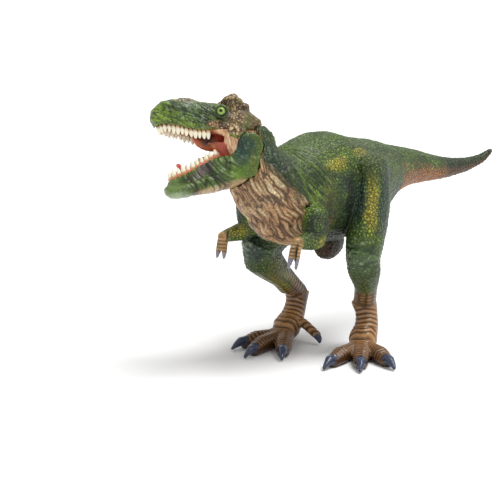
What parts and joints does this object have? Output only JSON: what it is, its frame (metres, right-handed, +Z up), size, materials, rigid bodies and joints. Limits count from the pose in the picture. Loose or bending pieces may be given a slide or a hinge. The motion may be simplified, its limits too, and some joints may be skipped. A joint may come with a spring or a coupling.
{
  "type": "toy dinosaur figure",
  "caption": "Striding toy dinosaur figure in painted vinyl that stands on two clawed feet, with a pinned lower jaw that opens and shuts.",
  "frame": {"origin": "on the ground under the middle of the figure's bounding box", "axes": "+Z up, the figure faces -Y with its tail towards +Y, its left side is +X"},
  "size_m": [0.1044, 0.251, 0.1382],
  "materials": {
    "body": "painted vinyl, satin",
    "head": "painted vinyl, satin",
    "jaw": "painted vinyl, satin",
    "mouth_skin": "painted vinyl, slightly glossy",
    "tooth": "painted vinyl, slightly glossy",
    "tongue": "painted vinyl, glossy",
    "steel": "drawn wire",
    "limb": "painted vinyl, satin",
    "foot": "painted vinyl, satin",
    "tail": "painted vinyl, satin"
  },
  "bodies": {
    "figure": {"torso": "body", "neck": "body", "skull": "head", "mouth_lining": "mouth_skin", "upper_teeth": "tooth", "jaw_pin": "steel", "left_arm": "limb", "right_arm": "limb", "left_leg": "limb", "right_leg": "limb", "left_foot": "foot", "right_foot": "foot", "tail": "tail"},
    "jaw": {"lower_jaw": "jaw", "lower_teeth": "tooth", "tongue": "tongue"}
  },
  "joints": [
    {"name": "jaw_hinge", "type": "hinge", "parent": "figure", "child": "jaw", "pos_m": [-0.01578, -0.08811, 0.11067], "axis": [-0.7284, 0.6124, -0.3073], "range_deg": [0, 25]}
  ]
}
